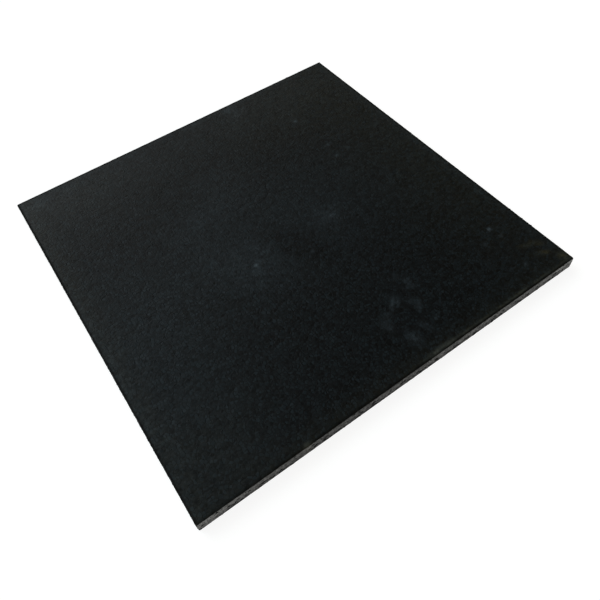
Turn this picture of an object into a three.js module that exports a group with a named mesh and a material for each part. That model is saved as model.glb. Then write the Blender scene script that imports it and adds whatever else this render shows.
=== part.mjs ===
// Rubber gym floor tile: one square slab of pressed and bonded rubber crumb.
//
// Millimetres, +Z up. The origin is the centre of the underside. +X runs along the front side from the
// near corner to the right-hand one, and +Y runs from the near corner to the left-hand one.

import * as THREE from "three";

// Driving dimensions
const TILE_LENGTH = 600; // side to side along X
const TILE_WIDTH = 600; // side to side along Y
const TILE_THICKNESS = 20; // underside to top
const CORNER_RADIUS = 1.5; // upright corners, seen from above
const ARRIS_ROUND = 0.8; // rounding where the sides meet the top and the underside

// Facets of the round stretches
const CORNER_SEGMENTS = 6;
const ARRIS_SEGMENTS = 3;

const QUARTER_TURN = Math.PI / 2;

const crumbRubber = new THREE.MeshStandardMaterial({
  name: "pressed rubber crumb",
  color: 0x1d2021,
  roughness: 0.9,
  metalness: 0,
});

// Rectangle with four equal corner arcs, centred on the origin and drawn anticlockwise.
function roundedRectangle(length, width, radius) {
  const reachX = length / 2 - radius;
  const reachY = width / 2 - radius;
  const arcCentres = [
    [reachX, -reachY],
    [reachX, reachY],
    [-reachX, reachY],
    [-reachX, -reachY],
  ];
  const outline = new THREE.Shape();
  arcCentres.forEach(([x, y], corner) => {
    const start = (corner - 1) * QUARTER_TURN;
    outline.absarc(x, y, radius, start, start + QUARTER_TURN, false);
  });
  return outline;
}

// The slab stands on Z = 0, and its outline is its full size between the two rounded arrises.
function tileGeometry() {
  const outline = roundedRectangle(TILE_LENGTH, TILE_WIDTH, CORNER_RADIUS);
  const slab = new THREE.ExtrudeGeometry(outline, {
    depth: TILE_THICKNESS - 2 * ARRIS_ROUND,
    curveSegments: CORNER_SEGMENTS,
    bevelEnabled: true,
    bevelThickness: ARRIS_ROUND,
    bevelSize: ARRIS_ROUND,
    bevelOffset: -ARRIS_ROUND,
    bevelSegments: ARRIS_SEGMENTS,
  });
  return slab.translate(0, 0, ARRIS_ROUND);
}

const rubberTile = new THREE.Mesh(tileGeometry(), crumbRubber);
rubberTile.name = "rubber_tile";

const gymFloorTile = new THREE.Group();
gymFloorTile.add(rubberTile);

export default gymFloorTile;
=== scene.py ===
"""Rubber gym floor tile: one slab of black rubber crumb, pressed and bonded in a mould.

The slab is a closed mesh with the relief of the crumb on its top and sides. Loose-looking crumbs stand a
little proud of it: flat, tight ones on the pressed top, and coarse, dusty ones on the cut sides. The top
carries the dust and the handling marks that the photograph shows; its broad films of dust are partly
painted sheen. The top's edges and the sides' foot are darkened with painted shade.

Metres, +Z up. The origin is the centre of the underside, +X runs along the front side.
"""

import logging
import math
from dataclasses import dataclass
from enum import Enum
from functools import partial

import bpy
import numpy as np
from mathutils import Matrix, Vector


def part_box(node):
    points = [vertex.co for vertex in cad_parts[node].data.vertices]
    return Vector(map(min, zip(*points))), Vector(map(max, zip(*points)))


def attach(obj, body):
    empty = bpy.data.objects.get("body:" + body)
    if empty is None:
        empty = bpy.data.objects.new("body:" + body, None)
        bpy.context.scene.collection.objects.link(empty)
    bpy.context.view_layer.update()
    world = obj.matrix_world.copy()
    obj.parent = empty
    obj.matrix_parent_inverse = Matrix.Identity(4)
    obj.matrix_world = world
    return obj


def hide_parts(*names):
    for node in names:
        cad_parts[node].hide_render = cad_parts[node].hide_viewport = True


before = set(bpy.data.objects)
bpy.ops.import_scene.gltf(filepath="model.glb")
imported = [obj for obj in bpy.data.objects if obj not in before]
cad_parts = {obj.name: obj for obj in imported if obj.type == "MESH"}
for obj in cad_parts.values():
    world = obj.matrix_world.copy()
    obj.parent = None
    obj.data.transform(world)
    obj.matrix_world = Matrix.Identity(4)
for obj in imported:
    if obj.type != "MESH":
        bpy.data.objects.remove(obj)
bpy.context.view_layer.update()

MM = 0.001
TILE_NODE = "rubber_tile"
TINT = "tint"
PIT_SIZE = 4.5 * MM  # across the open pits of the cut sides
PIT_LEVEL = 0.46  # of the pits' pattern: what lies below it is a pit
PIT_CLOSING = 0.2  # how much the pattern rises from the underside to the top
MIDDLE = 0.5  # of the range of a noise or of a random colour

Tree = bpy.types.NodeTree
Feed = bpy.types.Node | bpy.types.NodeSocket | float  # what feeds an input: a node by its first output

MATH = "ShaderNodeMath"
VECTOR_MATH = "ShaderNodeVectorMath"
MAP_RANGE = "ShaderNodeMapRange"
MIX = "ShaderNodeMix"
NOISE = "ShaderNodeTexNoise"
SEPARATE = "ShaderNodeSeparateXYZ"
SMOOTH = {"interpolation_type": "SMOOTHSTEP"}

log = logging.getLogger("gym_floor_tile")


class Zone(Enum):
    """Faces of the slab, by how steeply they face up: the least and the most Z of their normals."""

    TOP = (0.1, 1.1)
    SIDE = (-0.6, 0.1)
    UNDERSIDE = (-1.1, -0.6)


class Dirt(Enum):
    """What lies on the rubber, by the name of the mesh attribute that says where. On the top the dust also
    carries painted sheen and painted shade.
    """

    SOIL = "soil"
    DUST = "dust"


def linear(colour: str) -> tuple[float, float, float, float]:
    """Turns an sRGB hex colour into linear light.

    Args:
        colour: a hash and six hex digits, such as "#1c1f21".

    Returns:
        Red, green and blue in linear light, and an alpha of one.
    """
    parts = [int(colour[i : i + 2], 16) / 255 for i in (1, 3, 5)]
    light = [p / 12.92 if p <= 0.04045 else ((p + 0.055) / 1.055) ** 2.4 for p in parts]
    return (*light, 1.0)


def add_node(
    tree: Tree, kind: str, inputs: dict | None = None, operation: str = "", **settings: object
) -> bpy.types.Node:
    """Adds a node with its settings, its values and its links.

    Args:
        tree: the node tree that gets it.
        kind: Blender's name for the type of node.
        inputs: for a socket's name or number, its value or what feeds it.
        operation: what a node that sums or compares does.
        **settings: the node's other properties, such as feature or domain.

    Returns:
        The new node.
    """
    node = tree.nodes.new(kind)
    if operation:
        node.operation = operation
    for name, value in settings.items():
        setattr(node, name, value)
    for key, value in (inputs or {}).items():
        if isinstance(value, bpy.types.Node):
            value = value.outputs[0]
        if isinstance(value, bpy.types.NodeSocket):
            tree.links.new(value, node.inputs[key])
        else:
            node.inputs[key].default_value = value
    return node


def new_geometry_tree(name: str, values: dict[str, object]) -> tuple:
    """Starts a Geometry Nodes tree with named inputs.

    Args:
        name: the tree's name.
        values: the name of each input, with its number or its material.

    Returns:
        The tree and its group input node.
    """
    tree = bpy.data.node_groups.new(name, "GeometryNodeTree")
    tree.interface.new_socket("Geometry", in_out="INPUT", socket_type="NodeSocketGeometry")
    for label, value in values.items():
        kind = "Material" if isinstance(value, bpy.types.Material) else "Float"
        tree.interface.new_socket(label, in_out="INPUT", socket_type=f"NodeSocket{kind}")
    tree.interface.new_socket("Geometry", in_out="OUTPUT", socket_type="NodeSocketGeometry")
    return tree, add_node(tree, "NodeGroupInput")


def grow(piece: bpy.types.Object, tree: Tree, values: dict[str, object]) -> None:
    """Runs a Geometry Nodes tree on a piece and keeps what it makes as the piece's plain mesh.

    Args:
        piece: the object whose mesh goes in, and is replaced.
        tree: the tree to run.
        values: the value of each named input.
    """
    modifier = piece.modifiers.new(tree.name, "NODES")
    modifier.node_group = tree
    for item in tree.interface.items_tree:
        if item.in_out == "INPUT" and item.name in values:
            modifier[item.identifier] = values[item.name]
    graph = bpy.context.evaluated_depsgraph_get()
    made = bpy.data.meshes.new_from_object(
        piece.evaluated_get(graph), preserve_all_data_layers=True, depsgraph=graph
    )
    piece.modifiers.clear()
    piece.data = made


def pit_pattern(tree: Tree) -> Feed:
    """Draws the pattern of the open pits. They are rarer towards the top, where the crumb is finer.

    Args:
        tree: the geometry tree. It has an input named Thickness.

    Returns:
        The pattern's level at each point. It is a pit below PIT_LEVEL.
    """
    node = partial(add_node, tree)
    given = node("NodeGroupInput")
    place = node("GeometryNodeInputPosition")
    height = node(SEPARATE, {0: place}).outputs["Z"]
    share = node(MATH, {0: height, 1: given.outputs["Thickness"]}, "DIVIDE")
    noise = node(NOISE, {"Vector": place, "Scale": 1 / PIT_SIZE, "Detail": 1.0})
    return node(MATH, {0: share, 1: PIT_CLOSING, 2: noise}, "MULTIPLY_ADD")


def new_object(name: str, data: bpy.types.ID) -> bpy.types.Object:
    """Puts a mesh, a lamp or a camera in the scene, at the origin."""
    made = bpy.data.objects.new(name, data)
    bpy.context.scene.collection.objects.link(made)
    return made


def outward(azimuth: float, elevation: float) -> Vector:
    """Gives the direction from the tile at an azimuth and an elevation in degrees."""
    a, e = math.radians(azimuth), math.radians(elevation)
    return Vector((math.sin(a) * math.cos(e), -math.cos(a) * math.cos(e), math.sin(e)))


@dataclass(frozen=True)
class CrumbFinish:
    """Bonded SBR crumb: shards of ground tyre rubber in a thin film of polyurethane binder.

    To the eye it is a matt mosaic of blacks and dark greys, each shard its own shade, with darker joints,
    under whatever dust has settled on it.

    Attributes:
        name: the material's name.
        black: darkest shards, and
        grey: lightest ones, before any dust.
        joint: colour down between the shards.
        dust: colour of the dust, which on the top also paints sheen, and
        soil: of the soil.
        shard: middle size of a shard.
        roughness: of the shards' faces.
        specular: specular level; the binder's film is thin and broken, so it is low.
        relief: depth of the joints that the bump draws.
        own_shade: for loose shards, how much of the colour their own "tint" attribute picks.
    """

    name: str
    black: str
    grey: str
    joint: str
    dust: str = "#56636a"
    soil: str = "#6a6446"
    shard: float = 4.4 * MM
    roughness: float = 0.5
    specular: float = 0.25
    relief: float = 0.35 * MM
    own_shade: float = 0.0

    JOINT_WIDTH = 0.13  # of a shard's size, in the texture's own units
    RAGGED = 0.5  # how far a shard's outline strays, of its size
    LEAN = 4.5  # how far the shards' faces lean each their own way, in steps of the relief
    FINE_GRAIN = 0.8 * MM
    GRAIN_DEPTH = 0.12  # in steps of the relief
    DUST_BREAK = 6 * MM  # dust gathers in patches of this size
    DUST_RANGE = {"From Min": 0.3, "From Max": 0.7, "To Min": 0.2, "To Max": 1.8}  # thin to thick

    def make(self) -> bpy.types.Material:
        """Builds the material.

        Returns:
            The finished material.
        """
        material = bpy.data.materials.new(self.name)
        material.use_nodes = True
        tree = material.node_tree
        tree.nodes.clear()
        node = partial(add_node, tree)
        place = node("ShaderNodeTexCoord").outputs["Object"]
        colour, height = self.mosaic(tree, place)
        if self.own_shade:
            colour = self.single_shade(tree, colour)
        # painted shade: the top's margin and the side's foot are darkened here
        colour = self.shade(tree, place, colour)
        for dirt, shade in ((Dirt.SOIL, self.soil), (Dirt.DUST, self.dust)):
            colour = node(
                MIX, {0: self.cover(tree, place, dirt), 6: colour, 7: linear(shade)}, data_type="RGBA"
            ).outputs[2]
        bump = node("ShaderNodeBump", {"Strength": 1.0, "Distance": self.relief, "Height": height})
        shader = node(
            "ShaderNodeBsdfPrincipled",
            {
                "Base Color": colour,
                "Roughness": self.dullness(tree, place),
                "Specular IOR Level": self.specular,
                "Normal": bump,
            },
        )
        node("ShaderNodeOutputMaterial", {"Surface": shader})
        return material

    def mosaic(self, tree: Tree, place: Feed) -> tuple:
        """Draws the shards and their joints.

        Args:
            tree: the material's tree.
            place: where on the piece, in metres.

        Returns:
            The colour, and the height in steps of the relief.
        """
        node = partial(add_node, tree)
        stray = node(NOISE, {"Vector": place, "Scale": 1 / self.shard, "Detail": 1.0})
        stray = node(VECTOR_MATH, {0: stray.outputs["Color"], 1: (MIDDLE,) * 3}, "SUBTRACT")
        stray = node(VECTOR_MATH, {0: stray, 1: (self.RAGGED * self.shard,) * 3, 2: place}, "MULTIPLY_ADD")
        cell = {"Vector": stray, "Scale": 1 / self.shard}
        shards = node("ShaderNodeTexVoronoi", cell)
        joints = node("ShaderNodeTexVoronoi", cell, feature="DISTANCE_TO_EDGE")
        on_shard = node(MAP_RANGE, {"Value": joints, "From Max": self.JOINT_WIDTH}, **SMOOTH)
        own = node("ShaderNodeSeparateColor", {"Color": shards.outputs["Color"]})
        face = node(
            MIX, {0: own.outputs["Red"], 6: linear(self.black), 7: linear(self.grey)}, data_type="RGBA"
        )
        colour = node(
            MIX, {0: on_shard, 6: linear(self.joint), 7: face.outputs[2]}, data_type="RGBA"
        ).outputs[2]
        off_middle = node(VECTOR_MATH, {0: stray, 1: shards.outputs["Position"]}, "SUBTRACT")
        lean = node(VECTOR_MATH, {0: shards.outputs["Color"], 1: (MIDDLE,) * 3}, "SUBTRACT")
        lean = node(VECTOR_MATH, {0: lean, 1: off_middle}, "DOT_PRODUCT")
        proud = node(MATH, {0: lean.outputs["Value"], 1: self.LEAN / self.shard, 2: 1.0}, "MULTIPLY_ADD")
        level = node(MATH, {0: on_shard, 1: proud}, "MULTIPLY")
        grain = node(NOISE, {"Vector": place, "Scale": 1 / self.FINE_GRAIN, "Detail": 2.0})
        height = node(MATH, {0: grain, 1: self.GRAIN_DEPTH, 2: level}, "MULTIPLY_ADD")
        return colour, height

    def single_shade(self, tree: Tree, colour: Feed) -> Feed:
        """Gives each loose shard a shade of its own.

        Args:
            tree: the material's tree.
            colour: the mosaic's colour.

        Returns:
            The colour.
        """
        node = partial(add_node, tree)
        tint = node("ShaderNodeAttribute", attribute_name=TINT)
        own = node(
            MIX, {0: tint.outputs["Fac"], 6: linear(self.black), 7: linear(self.grey)}, data_type="RGBA"
        )
        return node(MIX, {0: self.own_shade, 6: colour, 7: own.outputs[2]}, data_type="RGBA").outputs[2]

    def shade(self, tree: Tree, place: Feed, colour: Feed) -> Feed:
        """Leaves the mosaic's colour as it is. Finishes that paint shade in places change it here."""
        return colour

    def dullness(self, tree: Tree, place: Feed) -> Feed:
        """Gives the roughness. Faces that are duller in places change it here."""
        return self.roughness

    def cover(self, tree: Tree, place: Feed, dirt: Dirt) -> Feed:
        """Takes the dirt from the piece's own attribute and breaks it up.

        Args:
            tree: the material's tree.
            place: where on the piece, in metres.
            dirt: which kind.

        Returns:
            How much of the face it covers: 1 is all of it, and less than 0 darkens what lies under it.
        """
        node = partial(add_node, tree)
        broken = node(
            NOISE, {"Vector": place, "Scale": 1 / self.DUST_BREAK, "Detail": 5.0, "Roughness": 0.65}
        )
        broken = node(MAP_RANGE, {"Value": broken, **self.DUST_RANGE})
        film = node("ShaderNodeAttribute", attribute_name=dirt.value)
        return node(MATH, {0: film.outputs["Fac"], 1: broken}, "MULTIPLY")


@dataclass(frozen=True)
class PressedTop(CrumbFinish):
    """The face that was pressed against the mould's smooth lid.

    To the eye it is blue-black and nearly flat, with an even grain and a soft bloom of grey dust that is
    partly painted sheen. A narrow margin along the edges is duller, and darkened with painted shade.

    Attributes:
        margin: width of the margin that is darkened with painted shade.
        margin_painted_shade: painted shade on its outer part: the brightness there, as a share of the rest.
        margin_roughness: roughness of its outer part.
        half_length: half the slab along X, and
        half_width: along Y.
    """

    margin: float = 4.5 * MM
    # painted shade on the margin's outer part
    margin_painted_shade: float = 0.3
    margin_roughness: float = 0.9
    half_length: float = 0.3
    half_width: float = 0.3

    OUTER_PART = 0.4  # of the margin's width; the shade and the roughness fade out over the other part

    def shade(self, tree: Tree, place: Feed, colour: Feed) -> Feed:
        """Darkens the margin with painted shade.

        Args:
            tree: the material's tree.
            place: where on the piece, in metres.
            colour: the mosaic's colour.

        Returns:
            The colour.
        """
        # painted shade: the colour is darkened towards the edges
        light = self.from_edge(tree, place, self.margin_painted_shade, 1.0)
        return add_node(tree, VECTOR_MATH, {0: colour, "Scale": light}, "SCALE")

    def dullness(self, tree: Tree, place: Feed) -> Feed:
        """Makes the margin duller, because the lid's rim pressed it less smooth.

        Args:
            tree: the material's tree.
            place: where on the piece, in metres.

        Returns:
            The roughness.
        """
        return self.from_edge(tree, place, self.margin_roughness, self.roughness)

    def from_edge(self, tree: Tree, place: Feed, edge: float, inner: float) -> Feed:
        """Blends a value from the edge to the inner side of the margin.

        Args:
            tree: the material's tree.
            place: where on the piece, in metres.
            edge: the value at the edge.
            inner: the value past the margin.

        Returns:
            The value.
        """
        node = partial(add_node, tree)
        reach = node(VECTOR_MATH, {0: place}, "ABSOLUTE")
        half = (self.half_length, self.half_width, 1.0)
        inset = node(VECTOR_MATH, {0: half, 1: reach}, "SUBTRACT")
        inset = node(SEPARATE, {0: inset})
        inset = node(MATH, {0: inset.outputs["X"], 1: inset.outputs["Y"]}, "MINIMUM")
        return node(
            MAP_RANGE,
            {
                "Value": inset,
                "From Min": self.OUTER_PART * self.margin,
                "From Max": self.margin,
                "To Min": edge,
                "To Max": inner,
            },
            **SMOOTH,
        )


@dataclass(frozen=True)
class CutSide(CrumbFinish):
    """A side, trimmed square after the press.

    To the eye it is grey with rubber dust in its upper half and towards the corners, and more open below,
    where the crumb is coarser. Towards its foot it is darkened with painted shade, like a contact shadow.

    Attributes:
        thickness: of the slab.
        half: half the slab's length.
        upper_cover: dust on the upper half, as a share of full cover, and
        lower_cover: on the lower half.
        corner_cover: dust that the corners have over their full height.
        corner_gain: how much dustier their upper half is than the rest.
        patch: length of the lighter and darker stretches.
        foot: height up to which the side is darkened with painted shade.
        foot_painted_shade: painted shade at the very foot: the brightness there, as a share of the rest.
    """

    thickness: float = 0.02
    half: float = 0.3
    upper_cover: float = 0.13
    lower_cover: float = 0.03
    corner_cover: float = 0.14
    corner_gain: float = 1.8
    patch: float = 50 * MM
    foot: float = 11 * MM
    # painted shade at the very foot of the side
    foot_painted_shade: float = 0.4

    UPPER_FROM = 0.35  # share of the thickness where the upper half's dust begins, and
    UPPER_FULL = 0.7  # where it is at its full
    CORNER_FROM = 0.7  # share of the half length where the corners' dust begins
    PATCH_RANGE = {"From Min": 0.3, "From Max": 0.7, "To Min": 0.3, "To Max": 1.6}  # thin to thick
    DUST_SPREAD = 1.0  # how much more or less dust one loose shard holds than another

    def shade(self, tree: Tree, place: Feed, colour: Feed) -> Feed:
        """Darkens the foot of the side with painted shade, like a contact shadow that fades upwards.

        Args:
            tree: the material's tree.
            place: where on the piece, in metres.
            colour: the mosaic's colour.

        Returns:
            The colour.
        """
        node = partial(add_node, tree)
        height = node(SEPARATE, {"Vector": place}).outputs["Z"]
        # painted shade: darkest at the foot, fading out by the height foot
        foot = node(MAP_RANGE, {"Value": height, "From Max": self.foot, "To Min": self.foot_painted_shade})
        return node(VECTOR_MATH, {0: colour, "Scale": foot}, "SCALE")

    def cover(self, tree: Tree, place: Feed, dirt: Dirt) -> Feed:
        """Lays dust on the upper half, thins it downwards and in patches, and adds the piece's own marks.

        Args:
            tree: the material's tree.
            place: where on the piece, in metres.
            dirt: which kind.

        Returns:
            How much of the face it covers: dust from 0 to 1, and soil as the crumb's own finish has it.
        """
        node = partial(add_node, tree)
        marks = super().cover(tree, place, dirt)
        if dirt is Dirt.SOIL:
            return marks
        at = node(SEPARATE, {"Vector": place})
        upper = node(
            MAP_RANGE,
            {
                "Value": at.outputs["Z"],
                "From Min": self.UPPER_FROM * self.thickness,
                "From Max": self.UPPER_FULL * self.thickness,
                "To Min": self.lower_cover,
                "To Max": self.upper_cover,
            },
            **SMOOTH,
        )
        reach = [node(MATH, {0: at.outputs[axis]}, "ABSOLUTE") for axis in ("X", "Y")]
        along = node(MATH, {0: reach[0], 1: reach[1]}, "MINIMUM")
        corner = node(
            MAP_RANGE,
            {"Value": along, "From Min": self.CORNER_FROM * self.half, "From Max": self.half},
            **SMOOTH,
        )
        patches = node(NOISE, {"Vector": place, "Scale": 1 / self.patch, "Detail": 4.0})
        patches = node(MAP_RANGE, {"Value": patches, **self.PATCH_RANGE})
        upper_part = node(MATH, {0: corner, 1: self.corner_gain, 2: patches}, "MULTIPLY_ADD")
        whole_part = node(MATH, {0: corner, 1: self.corner_cover, 2: marks}, "MULTIPLY_ADD")
        dusty = node(MATH, {0: upper, 1: upper_part, 2: whole_part}, "MULTIPLY_ADD", use_clamp=True)
        if not self.own_shade:
            return dusty
        tint = node("ShaderNodeAttribute", attribute_name=TINT)
        spread = {"To Min": 1 - self.DUST_SPREAD, "To Max": 1 + self.DUST_SPREAD}
        caught = node(MAP_RANGE, {"Value": tint.outputs["Fac"], **spread})
        return node(MATH, {0: dusty, 1: caught}, "MULTIPLY", use_clamp=True)


@dataclass(frozen=True)
class Mark:
    """A smudge, print or speck of dust on the top, a place that was wiped, a broad film of dust that is
    partly painted sheen, or a stretch of painted shade.

    Attributes:
        at: its middle in millimetres, from the near corner along the front and along the left side.
        size: its half lengths in millimetres.
        turn: degrees that its first length is turned from the front side.
        strength: dirt at its middle, as a share of full cover. Below zero, dirt is wiped away.
        dirt: which kind.
    """

    at: tuple[float, float]
    size: tuple[float, float]
    turn: float = 0.0
    strength: float = 0.1
    dirt: Dirt = Dirt.DUST

    def cover(self, x: np.ndarray, y: np.ndarray) -> np.ndarray:
        """Works out how much dirt the mark leaves.

        Args:
            x: places along the front in metres, from the near corner.
            y: places along the left side in metres, from the near corner.

        Returns:
            The dirt at each place.
        """
        turn = math.radians(self.turn)
        c, s = math.cos(turn), math.sin(turn)
        u, v = x / MM - self.at[0], y / MM - self.at[1]
        along, across = (u * c + v * s) / self.size[0], (v * c - u * s) / self.size[1]
        return self.strength * np.exp(-(along**2 + across**2))


MARKS_AND_PAINTED_LIGHT = (
    # thin films of dust, partly painted sheen that lightens the top towards the left and the back,
    # and a stretch where they are thinner, which paints shade
    Mark((30, 170), (110, 220), 0, 0.045),
    # painted shade: a darker stretch that dims the sheen
    Mark((40, 370), (110, 110), 0, -0.018),
    Mark((270, 310), (220, 100), 0, 0.04),
    Mark((90, 570), (170, 60), 0, 0.03),
    Mark((460, 570), (190, 70), 0, 0.025),
    # brownish soil, brought in from the edges, most of it on the right and at the back
    Mark((0, 300), (28, 420), 0, 0.03, Dirt.SOIL),
    Mark((300, 0), (420, 22), 0, 0.02, Dirt.SOIL),
    Mark((600, 280), (110, 280), 0, 0.03, Dirt.SOIL),
    Mark((500, 560), (180, 130), 0, 0.03, Dirt.SOIL),
    Mark((70, 560), (110, 60), 0, 0.02, Dirt.SOIL),
    Mark((60, 60), (60, 60), 0, 0.015, Dirt.SOIL),
    # a hand's print, near the middle of the front side
    Mark((353, 93), (9, 3), 48, 0.22),
    Mark((360, 90), (7, 3), 48, 0.13),
    Mark((394, 108), (4, 4), 0, 0.10),
    Mark((390, 111), (3, 6), 20, 0.08),
    Mark((389, 100), (10, 3), -25, 0.08),
    Mark((379, 69), (9, 4), 52, 0.09),
    Mark((334, 81), (7, 5), 40, 0.08),
    Mark((325, 69), (10, 7), -70, 0.08),
    Mark((341, 37), (11, 7), -80, 0.12),
    Mark((364, 43), (11, 6), -60, 0.06),
    Mark((376, 81), (8, 6), -20, 0.05),
    Mark((384, 124), (7, 5), 0, 0.05),
    Mark((384, 42), (5, 4), 0, 0.05),
    Mark((353, 65), (10, 14), 0, -0.03),
    # clouds, a wiped patch and a scratch around the middle
    Mark((240, 262), (40, 60), 40, 0.045),
    Mark((274, 276), (12, 9), 0, 0.05),
    Mark((305, 261), (46, 22), -56, -0.06),
    Mark((378, 274), (22, 18), 20, 0.045),
    Mark((234, 390), (60, 26), 15, 0.045),
    Mark((274, 444), (44, 30), 0, 0.03),
    Mark((236, 241), (34, 2), 66, 0.07),
    Mark((130, 411), (20, 6), 0, -0.03),
    # dust along the back side, at the left corner and at the right corner
    Mark((321, 589), (12, 6), 0, 0.09),
    Mark((390, 586), (12, 6), 0, 0.14),
    Mark((393, 566), (16, 10), 30, 0.06),
    Mark((429, 590), (12, 5), 0, 0.05),
    Mark((300, 594), (420, 5), 0, 0.03),
    Mark((6, 330), (5, 330), 0, 0.03),
    Mark((592, 330), (7, 400), 0, 0.04),
    Mark((31, 578), (16, 10), 30, 0.08),
    Mark((87, 581), (12, 6), 0, 0.06),
    Mark((446, 496), (18, 3), -18, 0.04),
    Mark((571, 395), (12, 4), 60, 0.06),
    Mark((580, 50), (9, 4), -40, 0.10, Dirt.SOIL),
    Mark((563, 57), (8, 4), -30, 0.06, Dirt.SOIL),
    Mark((576, 31), (13, 4), -25, 0.09, Dirt.SOIL),
    Mark((592, 12), (7, 7), 0, 0.12, Dirt.SOIL),
    # a light line just inside the front edge, on its right half, and dust caught on the edge
    Mark((400, 4), (70, 1.6), 0, 0.05),
    Mark((530, 4), (70, 1.6), 0, 0.05),
    Mark((480, 4), (130, 1.6), 0, 0.08, Dirt.SOIL),
    Mark((149, 2), (5, 3), 0, 0.1),
    Mark((149, 2), (5, 3), 0, 0.12, Dirt.SOIL),
    Mark((357, 4), (20, 3), 0, 0.1),
    Mark((357, 4), (20, 3), 0, 0.1, Dirt.SOIL),
    # a darker stretch of the front side's upper edge
    Mark((225, -2), (90, 2), 0, -0.4),
    # single specks
    Mark((547, 108), (2.6, 2.6), 0, 0.45),
    Mark((465, 485), (2.6, 2.6), 0, 0.35),
    Mark((474, 401), (2.6, 2.6), 0, 0.25),
    Mark((469, 372), (3, 3), 0, 0.15),
    Mark((495, 375), (3, 3), 0, 0.12),
    Mark((523, 91), (3, 3), 0, 0.15),
    Mark((551, 89), (3, 3), 0, 0.12),
    Mark((541, 33), (2.6, 2.6), 0, 0.12),
    Mark((241, 260), (2.6, 2.6), 0, 0.30),
    Mark((260, 287), (2.6, 2.6), 0, 0.15),
    Mark((320, 231), (2.6, 2.6), 0, 0.18),
    Mark((383, 271), (4, 3), 0, 0.10),
    Mark((283, 366), (4, 3), 0, 0.08),
    Mark((201, 347), (3, 3), 0, 0.12),
    Mark((195, 302), (5, 3), 0, 0.08),
)


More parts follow.
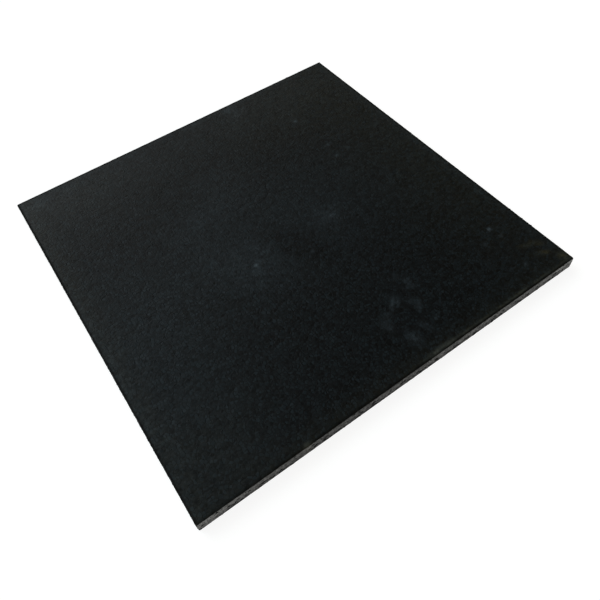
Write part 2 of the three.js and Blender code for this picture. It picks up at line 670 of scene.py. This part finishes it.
@dataclass
class RubberSlab:
    """The slab: its form at the CAD model's size, the relief of its crumb, and its finishes.

    Attributes:
        length: along X.
        width: along Y.
        thickness: along Z.
        corner_radius: of the upright corners.
        arris: rounding between the sides and the top and underside.
        pitch: spacing of the mesh on the top and along the sides.
        row: spacing of the mesh up the sides.
        coarse: mesh steps that one face of the hidden underside covers.
    """

    length: float
    width: float
    thickness: float
    corner_radius: float = 1.5 * MM
    arris: float = 0.8 * MM
    pitch: float = 2.4 * MM
    row: float = 1.7 * MM
    coarse: int = 4

    ARRIS_ANGLES = (45, 30, 15, 0)  # degrees round the arris at which the mesh has its lines
    NEARLY_ZERO = 1e-12  # keeps a division by zero away
    LEVEL_AT = 0.45  # how far from a shard's middle its face meets the slab's, in shard sizes
    UPRIGHT = {"From Min": 0.9, "From Max": 0.3}  # Z of the normals, from the top to the sides
    OFF_FLOOR = {"From Min": -0.7, "From Max": -0.1}  # the same, from the underside to the sides
    FINER_ABOVE = {"From Min": 0.4, "From Max": 0.65, "To Min": 1.0, "To Max": 0.45}  # relief by height
    PIT_WALL = {"From Min": PIT_LEVEL + 0.04, "From Max": PIT_LEVEL - 0.06}  # from the rim to the bottom

    def edge_insets(self) -> list[float]:
        """Distances in from an edge at which the rounding of the arris has a line of the mesh."""
        return [self.arris * (1 - math.tan(math.radians(a))) for a in self.ARRIS_ANGLES]

    def lines(self, size: float, insets: list[float], cells: int) -> np.ndarray:
        """Places the mesh lines across one direction.

        Args:
            size: the slab's size that way.
            insets: lines near each edge, measured in from it.
            cells: even steps between the innermost of those.

        Returns:
            The lines, from 0 to the size.
        """
        low = np.array(insets)
        middle = np.linspace(low[-1], size - low[-1], cells + 1)[1:-1]
        return np.concatenate([low, middle, size - low[::-1]])

    def rounded(self, places: np.ndarray) -> np.ndarray:
        """Carries points of a sharp box onto the slab with its corner and arris roundings.

        Args:
            places: points on the box, one a row.

        Returns:
            The points on the rounded slab.
        """
        half = np.array([self.length, self.width]) / 2
        plan, z = places[:, :2], places[:, 2]
        centre = np.clip(plan, self.corner_radius - half, half - self.corner_radius)
        out = plan - centre
        reach = np.abs(out).max(1)
        far = np.maximum(np.linalg.norm(out, axis=1), self.NEARLY_ZERO)
        direction = out / far[:, None]
        mid = self.thickness / 2
        in_arris = np.clip(reach - (self.corner_radius - self.arris), 0, None)
        up = np.clip(np.abs(z - mid) - (mid - self.arris), 0, None)
        square = np.maximum(in_arris, up)
        disc = np.maximum(np.hypot(in_arris, up), self.NEARLY_ZERO)
        shrink = np.where((in_arris > 0) & (up > 0), square / disc, 1.0)
        plan_reach = reach - in_arris * (1 - shrink)
        height = z - np.sign(z - mid) * up * (1 - shrink)
        return np.column_stack([centre + direction * plan_reach[:, None], height])

    def blank(self) -> bpy.types.Mesh:
        """Builds the closed mesh of the slab before its relief.

        Returns:
            The mesh: even squares on the top and sides, and wider ones on the underside.
        """
        plan_insets = [*self.edge_insets(), self.corner_radius]
        rim = len(plan_insets) - 1
        span = 2 * self.corner_radius
        steps = [
            self.coarse * round((size - span) / (self.pitch * self.coarse))
            for size in (self.length, self.width)
        ]
        x = self.lines(self.length, plan_insets, steps[0]) - self.length / 2
        y = self.lines(self.width, plan_insets, steps[1]) - self.width / 2
        rows = round((self.thickness - 2 * self.arris) / self.row)
        z = self.lines(self.thickness, self.edge_insets(), rows)
        ids = np.arange(len(x) * len(y) * len(z)).reshape(len(x), len(y), len(z))

        def quads(sheet: np.ndarray, turned: bool) -> list:
            corners = np.stack([sheet[:-1, :-1], sheet[1:, :-1], sheet[1:, 1:], sheet[:-1, 1:]], -1)
            corners = corners.reshape(-1, 4)
            return (corners[:, ::-1] if turned else corners).tolist()

        faces = quads(ids[:, :, -1], False)
        faces += quads(ids[:, 0], False) + quads(ids[:, -1], True)
        faces += quads(ids[-1], False) + quads(ids[0], True)
        under = ids[:, :, 0]
        first, last_x, last_y = rim, len(x) - 1 - rim, len(y) - 1 - rim
        faces += quads(under[: first + 1], True) + quads(under[last_x:], True)
        faces += quads(under[first : last_x + 1, : first + 1], True)
        faces += quads(under[first : last_x + 1, last_y:], True)
        for i in range(first, last_x, self.coarse):
            for j in range(first, last_y, self.coarse):
                ends = i + self.coarse, j + self.coarse
                south = under[i : ends[0] + 1 : 1 if j == first else self.coarse, j]
                east = under[ends[0], j : ends[1] + 1 : 1 if ends[0] == last_x else self.coarse]
                north = under[i : ends[0] + 1 : 1 if ends[1] == last_y else self.coarse, ends[1]]
                west = under[i, j : ends[1] + 1 : 1 if i == first else self.coarse]
                loop = [*south[:-1], *east[:-1], *north[:0:-1], *west[:0:-1]]
                faces.append([int(v) for v in loop[::-1]])
        used = np.unique(np.concatenate([np.array(f) for f in faces]))
        renumber = np.full(ids.size, -1)
        renumber[used] = np.arange(len(used))
        i, j, k = np.unravel_index(used, ids.shape)
        places = self.rounded(np.column_stack([x[i], y[j], z[k]]))
        mesh = bpy.data.meshes.new("slab_blank")
        mesh.from_pydata(places.tolist(), [], [renumber[f].tolist() for f in faces])
        mesh.shade_smooth()
        return mesh

    def lay_dirt_and_painted_light(self, mesh: bpy.types.Mesh) -> None:
        """Writes the handling marks to the mesh, each kind of dirt as an attribute of its own. The broad
        films of dust are partly painted sheen, and the stretch where they are thinner paints shade.

        The underside gets none.

        Args:
            mesh: the slab's mesh.
        """
        co = np.zeros(len(mesh.vertices) * 3, np.float32)
        mesh.vertices.foreach_get("co", co)
        x, y, z = co.reshape(-1, 3).T
        x, y = x + self.length / 2, y + self.width / 2
        for dirt in Dirt:
            cover = sum(mark.cover(x, y) for mark in MARKS_AND_PAINTED_LIGHT if mark.dirt is dirt)
            layer = mesh.attributes.new(dirt.value, "FLOAT", "POINT")
            cover = np.where(z > self.arris, np.clip(cover, -1, 1), 0.0)
            layer.data.foreach_set("value", cover.astype(np.float32))

    def relief_tree(self, values: dict[str, object]) -> Tree:
        """Builds the tree that raises the crumb's relief and dresses the faces.

        Args:
            values: the tree's inputs.

        Returns:
            The tree.
        """
        tree, given = new_geometry_tree("crumb_relief", values)
        node = partial(add_node, tree)
        place = node("GeometryNodeInputPosition")
        normal = node("GeometryNodeInputNormal")
        facing = node(SEPARATE, {0: normal}).outputs["Z"]
        height = node(SEPARATE, {0: place}).outputs["Z"]
        scale = node(MATH, {0: 1.0, 1: given.outputs["Shard Size"]}, "DIVIDE")
        cell = {"Vector": place, "Scale": scale, "Smoothness": 0.35}
        shards = node("ShaderNodeTexVoronoi", cell, feature="SMOOTH_F1")
        raised = node(MATH, {0: self.LEVEL_AT, 1: shards}, "SUBTRACT")
        upright = node(MAP_RANGE, {"Value": facing, **self.UPRIGHT})
        level = node(MATH, {0: height, 1: given.outputs["Thickness"]}, "DIVIDE")
        coarse = node(MAP_RANGE, {"Value": level, **self.FINER_ABOVE})
        side_relief = node(MATH, {0: given.outputs["Side Relief"], 1: coarse}, "MULTIPLY")
        relief = node(MIX, {0: upright, 2: given.outputs["Top Relief"], 3: side_relief})
        crumb = node(MATH, {0: raised, 1: relief}, "MULTIPLY")
        pit = node(MAP_RANGE, {"Value": pit_pattern(tree), **self.PIT_WALL}, **SMOOTH)
        pit = node(MATH, {0: pit, 1: upright}, "MULTIPLY")
        pit = node(MATH, {0: pit, 1: given.outputs["Pit Depth"]}, "MULTIPLY")
        crumb = node(MATH, {0: crumb, 1: pit}, "SUBTRACT")
        swell_scale = node(MATH, {0: 1.0, 1: given.outputs["Swell Length"]}, "DIVIDE")
        waves = node(NOISE, {"Vector": place, "Scale": swell_scale, "Detail": 2.0})
        waves = node(MATH, {0: waves, 1: MIDDLE}, "SUBTRACT")
        lift = node(MATH, {0: waves, 1: given.outputs["Swell"], 2: crumb}, "MULTIPLY_ADD")
        off_floor = node(MAP_RANGE, {"Value": facing, **self.OFF_FLOOR})
        lift = node(MATH, {0: lift, 1: off_floor}, "MULTIPLY")
        offset = node(VECTOR_MATH, {0: normal, "Scale": lift}, "SCALE")
        raised_mesh = node(
            "GeometryNodeSetPosition", {"Geometry": given.outputs["Geometry"], "Offset": offset}
        )
        made = node("GeometryNodeRealizeInstances", {0: raised_mesh})
        for zone in Zone:
            low, high = zone.value
            over = node("FunctionNodeCompare", {0: facing, 1: low}, "GREATER_EQUAL")
            below = node("FunctionNodeCompare", {0: facing, 1: high}, "LESS_THAN")
            both = node("FunctionNodeBooleanMath", {0: over, 1: below})
            made = node(
                "GeometryNodeSetMaterial",
                {"Geometry": made, "Selection": both, "Material": given.outputs[zone.name.capitalize()]},
            )
        node("NodeGroupOutput", {0: made})
        return tree

    def build(self) -> bpy.types.Object:
        """Makes the slab and hangs it on its body.

        Returns:
            The finished piece.
        """
        mesh = self.blank()
        self.lay_dirt_and_painted_light(mesh)
        piece = new_object("tile_slab", mesh)
        top = PressedTop(
            "sbr_crumb_pressed_top",
            black="#020404",
            grey="#131b1e",
            joint="#010202",
            specular=0.09,
            relief=0.15 * MM,
            half_length=self.length / 2,
            half_width=self.width / 2,
        )
        side = CutSide(
            "sbr_crumb_cut_side",
            black="#101010",
            grey="#373735",
            joint="#090909",
            dust="#7c7c79",
            specular=0.15,
            relief=0.5 * MM,
            thickness=self.thickness,
            upper_cover=0.2,
        )
        under = CrumbFinish("sbr_crumb_underside", black="#16181a", grey="#2a2c2e", joint="#0b0c0d")
        values = {
            "Shard Size": 5.2 * MM,  # two steps of the mesh, the finest relief that it holds
            "Top Relief": 0.22 * MM,
            "Side Relief": 0.9 * MM,
            "Pit Depth": 1.2 * MM,
            "Swell Length": 80 * MM,
            "Swell": 0.25 * MM,
            "Thickness": self.thickness,
            "Top": top.make(),
            "Side": side.make(),
            "Underside": under.make(),
        }
        grow(piece, self.relief_tree(values), values)
        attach(piece, "root")
        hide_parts(TILE_NODE)
        return piece


@dataclass
class CrumbField:
    """Shards that stand proud of one zone of the slab.

    Attributes:
        name: the piece's name.
        zone: the faces that carry them.
        spacing: least distance between two of them.
        size: smallest and largest shard.
        flatness: thickness of a shard as a share of its size.
        sink: how deep a shard's middle lies under the face, as a share of its thickness.
        sides: corners of a shard's outline.
        finish: their finish.
        thickness: of the slab.
        low: lowest place that carries them, and
        high: highest one.
        reach: how far from the middle they lie along X and along Y.
        pits: level of the pits' pattern under which there are none.
        tilt: most that a shard leans, in radians.
        seed: of every random draw.
    """

    name: str
    zone: Zone
    spacing: float
    size: tuple[float, float]
    flatness: float
    sink: float
    sides: int
    finish: CrumbFinish
    thickness: float
    low: float
    high: float
    reach: tuple[float, float]
    pits: float
    tilt: float
    seed: int

    VARIANTS = 4
    VARIANT_STEP = 3.7  # between the noises that chip two of them
    CHIP_SCALE = 1.3
    NARROWNESS = 0.75  # width of a shard as a share of its length
    DENSEST = 4.0e6  # tries for each square metre before near neighbours are dropped
    PROUD_OF_TOP = 0.3 * MM  # what stands further above the slab is trimmed off, as is what hangs below it

    def shapes(self, tree: Tree) -> Feed:
        """Makes the few shard shapes that the field draws from.

        Args:
            tree: the field's tree.

        Returns:
            The shapes, as separate instances.
        """
        node = partial(add_node, tree)
        gather = node("GeometryNodeJoinGeometry")
        place = node("GeometryNodeInputPosition")
        for variant in range(self.VARIANTS):
            ball = node("GeometryNodeMeshUVSphere", {"Segments": self.sides, "Rings": 2, "Radius": 0.5})
            chip = node(
                NOISE,
                {"Vector": place, "W": self.seed + self.VARIANT_STEP * variant, "Scale": self.CHIP_SCALE},
                noise_dimensions="4D",
            )
            chip = node(VECTOR_MATH, {0: chip.outputs[1], 1: (MIDDLE,) * 3}, "SUBTRACT")
            shard = node("GeometryNodeSetPosition", {"Geometry": ball, "Offset": chip})
            flat = node("GeometryNodeSetShadeSmooth", {"Geometry": shard, "Shade Smooth": False})
            one = node("GeometryNodeGeometryToInstance", {0: flat})
            tree.links.new(one.outputs[0], gather.inputs[0])
        return gather

    def scatter_tree(self, values: dict[str, object]) -> Tree:
        """Builds the tree that scatters the shards.

        Args:
            values: the tree's inputs.

        Returns:
            The tree.
        """
        tree, given = new_geometry_tree(self.name, values)
        node = partial(add_node, tree)
        normal = node("GeometryNodeInputNormal")
        facing = node(SEPARATE, {0: normal}).outputs["Z"]
        place = node("GeometryNodeInputPosition")
        height = node(SEPARATE, {0: place}).outputs["Z"]
        out = node(VECTOR_MATH, {0: place}, "ABSOLUTE")
        out = node(SEPARATE, {0: out})
        tests = [
            (facing, "Least Z", "GREATER_EQUAL"),
            (facing, "Most Z", "LESS_THAN"),
            (height, "Low", "GREATER_EQUAL"),
            (height, "High", "LESS_EQUAL"),
            (out.outputs["X"], "Reach X", "LESS_EQUAL"),
            (out.outputs["Y"], "Reach Y", "LESS_EQUAL"),
        ]
        chosen = True
        for value, limit, operation in tests:
            test = node("FunctionNodeCompare", {0: value, 1: given.outputs[limit]}, operation)
            chosen = node("FunctionNodeBooleanMath", {0: chosen, 1: test})
        points = node(
            "GeometryNodeDistributePointsOnFaces",
            {
                "Mesh": given.outputs["Geometry"],
                "Selection": chosen,
                "Distance Min": given.outputs["Spacing"],
                "Density Max": self.DENSEST,
                "Seed": self.seed,
            },
            distribute_method="POISSON",
        )
        in_pit = node("FunctionNodeCompare", {0: pit_pattern(tree), 1: given.outputs["Pits"]}, "LESS_THAN")
        outside_pits = node("GeometryNodeDeleteGeometry", {"Geometry": points, "Selection": in_pit})
        least, most = (-self.tilt, -self.tilt, 0.0), (self.tilt, self.tilt, 2 * math.pi)
        spin = node(
            "FunctionNodeRandomValue", {0: least, 1: most, "Seed": self.seed + 1}, data_type="FLOAT_VECTOR"
        )
        spin = node("FunctionNodeEulerToRotation", {0: spin})
        turned = node(
            "FunctionNodeRotateRotation", {0: points.outputs["Rotation"], 1: spin}, rotation_space="LOCAL"
        )
        size = node(
            "FunctionNodeRandomValue",
            {2: given.outputs["Least Size"], 3: given.outputs["Most Size"], "Seed": self.seed + 2},
        ).outputs[1]
        thick = node(MATH, {0: size, 1: given.outputs["Flatness"]}, "MULTIPLY")
        narrow = node(MATH, {0: size, 1: self.NARROWNESS}, "MULTIPLY")
        scale = node("ShaderNodeCombineXYZ", {0: size, 1: narrow, 2: thick})
        depth = node(MATH, {0: thick, 1: given.outputs["Sink"]}, "MULTIPLY")
        depth = node(MATH, {0: depth, 1: -1.0}, "MULTIPLY")
        sunk = node(VECTOR_MATH, {0: points.outputs["Normal"], "Scale": depth}, "SCALE")
        seated = node("GeometryNodeSetPosition", {"Geometry": outside_pits, "Offset": sunk})
        shards = node(
            "GeometryNodeInstanceOnPoints",
            {
                "Points": seated,
                "Instance": self.shapes(tree),
                "Pick Instance": True,
                "Rotation": turned,
                "Scale": scale,
            },
        )
        tint = node("FunctionNodeRandomValue", {2: 0.0, 3: 1.0, "Seed": self.seed + 3})
        tinted = node(
            "GeometryNodeStoreNamedAttribute",
            {"Geometry": shards, "Name": TINT, "Value": tint.outputs[1]},
            domain="INSTANCE",
        )
        real = node("GeometryNodeRealizeInstances", {0: tinted})
        above = node(VECTOR_MATH, {0: place, 1: (-1, -1, 0)}, "MAXIMUM")
        ceiling = node(MATH, {0: given.outputs["Thickness"], 1: self.PROUD_OF_TOP}, "ADD")
        ceiling = node("ShaderNodeCombineXYZ", {0: 1.0, 1: 1.0, 2: ceiling})
        between = node(VECTOR_MATH, {0: above, 1: ceiling}, "MINIMUM")
        trimmed = node("GeometryNodeSetPosition", {"Geometry": real, "Position": between})
        dressed = node(
            "GeometryNodeSetMaterial", {"Geometry": trimmed, "Material": given.outputs["Finish"]}
        )
        node("NodeGroupOutput", {0: dressed})
        return tree

    def build(self, slab: bpy.types.Object) -> bpy.types.Object:
        """Scatters the shards over the slab and hangs them on its body.

        Args:
            slab: the finished slab.

        Returns:
            The finished piece.
        """
        piece = new_object(self.name, slab.data.copy())
        least, most = self.zone.value
        values = {
            "Spacing": self.spacing,
            "Least Size": self.size[0],
            "Most Size": self.size[1],
            "Flatness": self.flatness,
            "Sink": self.sink,
            "Low": self.low,
            "High": self.high,
            "Reach X": self.reach[0],
            "Reach Y": self.reach[1],
            "Pits": self.pits,
            "Thickness": self.thickness,
            "Least Z": least,
            "Most Z": most,
            "Finish": self.finish.make(),
        }
        grow(piece, self.scatter_tree(values), values)
        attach(piece, "root")
        return piece


@dataclass(frozen=True)
class SoftLight:
    """A wide, distant lamp.

    Attributes:
        name: what it does.
        azimuth: degrees round the tile: 0 is in front, 90 to the right.
        elevation: degrees above the floor.
        spread: how wide it looks from the tile, in degrees.
        strength: light on a face that looks straight at it.
        colour: its colour.
    """

    name: str
    azimuth: float
    elevation: float
    spread: float
    strength: float
    colour: str

    def build(self) -> bpy.types.Object:
        """Adds the lamp to the scene.

        Returns:
            The lamp.
        """
        lamp = bpy.data.lights.new(self.name, "SUN")
        lamp.angle = math.radians(self.spread)
        lamp.energy = self.strength
        lamp.color = linear(self.colour)[:3]
        holder = new_object(self.name, lamp)
        towards = outward(self.azimuth, self.elevation)
        holder.rotation_euler = towards.to_track_quat("Z", "Y").to_euler()
        return holder


@dataclass
class Studio:
    """The pale floor, the soft light and the camera at the photograph's angle.

    Attributes:
        camera_at: the camera's place.
        azimuth: degrees that the view is turned from the front side.
        elevation: degrees that the camera looks down.
        roll: degrees that the camera is tilted.
        lens: focal length for a picture as wide as SENSOR, both in millimetres.
        shift: how far the picture is moved up from the middle of the view, as a share of its width.
        floor_half: half the floor's side.
    """

    camera_at: tuple[float, float, float] = (-268.4 * MM, -526.4 * MM, 695.8 * MM)
    azimuth: float = -30.13
    elevation: float = 52.47
    roll: float = -5.96
    lens: float = 35.95
    shift: float = -0.059
    floor_half: float = 30.0

    SENSOR = 36.0
    FLOOR_DROP = 0.05 * MM  # keeps the floor clear of the underside
    GLOW = 0.85  # of the floor, which is lit from behind like a light table
    LIGHTS = (
        SoftLight("back_sheen", 183, 32, 55, 1.0, "#fffaf4"),
        SoftLight("left_sheen", 215, 35, 55, 1.7, "#d3eaf6"),
        SoftLight("front_key", -20, 38, 60, 0.8, "#ffffff"),
        SoftLight("right_fill", 95, 55, 70, 0.25, "#ffe9c8"),
    )
    SKY = {"From Min": 0.05, "From Max": 0.45, "To Min": 0.3, "To Max": 0.05}  # light by height

    def build_camera(self) -> None:
        """Places the camera."""
        data = bpy.data.cameras.new("camera")
        data.sensor_width = self.SENSOR
        data.lens = self.lens
        data.shift_y = self.shift
        data.clip_start, data.clip_end = 0.02, 200.0
        camera = new_object("camera", data)
        a, r = math.radians(self.azimuth), math.radians(self.roll)
        back = outward(self.azimuth, self.elevation)
        level = Vector((math.cos(a), math.sin(a), 0.0))
        upright = back.cross(level)
        right = level * math.cos(r) + upright * math.sin(r)
        up = back.cross(right)
        turn = Matrix((right, up, back)).transposed()
        camera.matrix_world = Matrix.Translation(self.camera_at) @ turn.to_4x4()
        bpy.context.scene.camera = camera

    def build_floor(self) -> None:
        """Lays the floor just under the tile."""
        h, z = self.floor_half, -self.FLOOR_DROP
        mesh = bpy.data.meshes.new("floor")
        mesh.from_pydata([(-h, -h, z), (h, -h, z), (h, h, z), (-h, h, z)], [], [(0, 1, 2, 3)])
        floor = new_object("floor", mesh)
        paint = bpy.data.materials.new("pale_matt_paint")
        paint.use_nodes = True
        shader = paint.node_tree.nodes["Principled BSDF"]
        shader.inputs["Base Color"].default_value = linear("#8e8e8c")
        shader.inputs["Roughness"].default_value = 0.95
        shader.inputs["Specular IOR Level"].default_value = 0.1
        shader.inputs["Emission Color"].default_value = linear("#ffffff")
        shader.inputs["Emission Strength"].default_value = self.GLOW
        mesh.materials.append(paint)

    def build_world(self) -> None:
        """Surrounds the tile with soft light, pale at the horizon and dim overhead, and shows it as white."""
        world = bpy.data.worlds.new("studio")
        world.use_nodes = True
        tree = world.node_tree
        tree.nodes.clear()
        node = partial(add_node, tree)
        direction = node("ShaderNodeTexCoord").outputs["Generated"]
        height = node(SEPARATE, {0: direction}).outputs["Z"]
        level = node(MAP_RANGE, {"Value": height, **self.SKY}, **SMOOTH)
        seen = node("ShaderNodeLightPath").outputs["Is Camera Ray"]
        strength = node(MATH, {0: level, 1: seen}, "MAXIMUM")
        sky = node("ShaderNodeBackground", {"Color": linear("#ffffff"), "Strength": strength})
        node("ShaderNodeOutputWorld", {0: sky})
        bpy.context.scene.world = world

    def build(self) -> None:
        """Makes the whole studio."""
        self.build_camera()
        self.build_floor()
        self.build_world()
        for light in self.LIGHTS:
            light.build()
        bpy.context.scene.view_settings.view_transform = "Standard"


def main() -> None:
    """Builds the studio, the slab and its shards, in that order."""
    logging.basicConfig(level=logging.INFO, format="%(name)s: %(message)s")
    Studio().build()
    low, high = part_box(TILE_NODE)
    length, width, thickness = high - low
    slab = RubberSlab(length, width, thickness).build()
    log.info("%s: %d faces", slab.name, len(slab.data.polygons))
    margin = PressedTop.margin
    fields = [
        CrumbField(
            name="top_shards",
            zone=Zone.TOP,
            spacing=4.2 * MM,
            size=(1.6 * MM, 3.2 * MM),
            flatness=0.14,
            sink=0.2,
            sides=4,
            finish=PressedTop(
                "sbr_shard_pressed",
                black="#030505",
                grey="#182023",
                joint="#010202",
                specular=0.09,
                relief=0.15 * MM,
                own_shade=0.8,
            ),
            thickness=thickness,
            low=thickness - 1 * MM,
            high=thickness + 1 * MM,
            reach=(length / 2 - margin, width / 2 - margin),
            pits=0.0,
            tilt=0.08,
            seed=11,
        ),
        CrumbField(
            name="side_shards",
            zone=Zone.SIDE,
            spacing=2.4 * MM,
            size=(2.0 * MM, 4.4 * MM),
            flatness=0.25,
            sink=0.1,
            sides=6,
            finish=CutSide(
                "sbr_shard_cut",
                black="#050505",
                grey="#5f5f5c",
                joint="#080808",
                dust="#858581",
                specular=0.15,
                own_shade=0.95,
            ),
            thickness=thickness,
            low=0.8 * MM,
            high=thickness - 1 * MM,
            reach=(length, width),
            pits=PIT_LEVEL,
            tilt=0.25,
            seed=23,
        ),
    ]
    for field in fields:
        piece = field.build(slab)
        log.info("%s: %d faces", piece.name, len(piece.data.polygons))


if __name__ == "__main__":
    main()
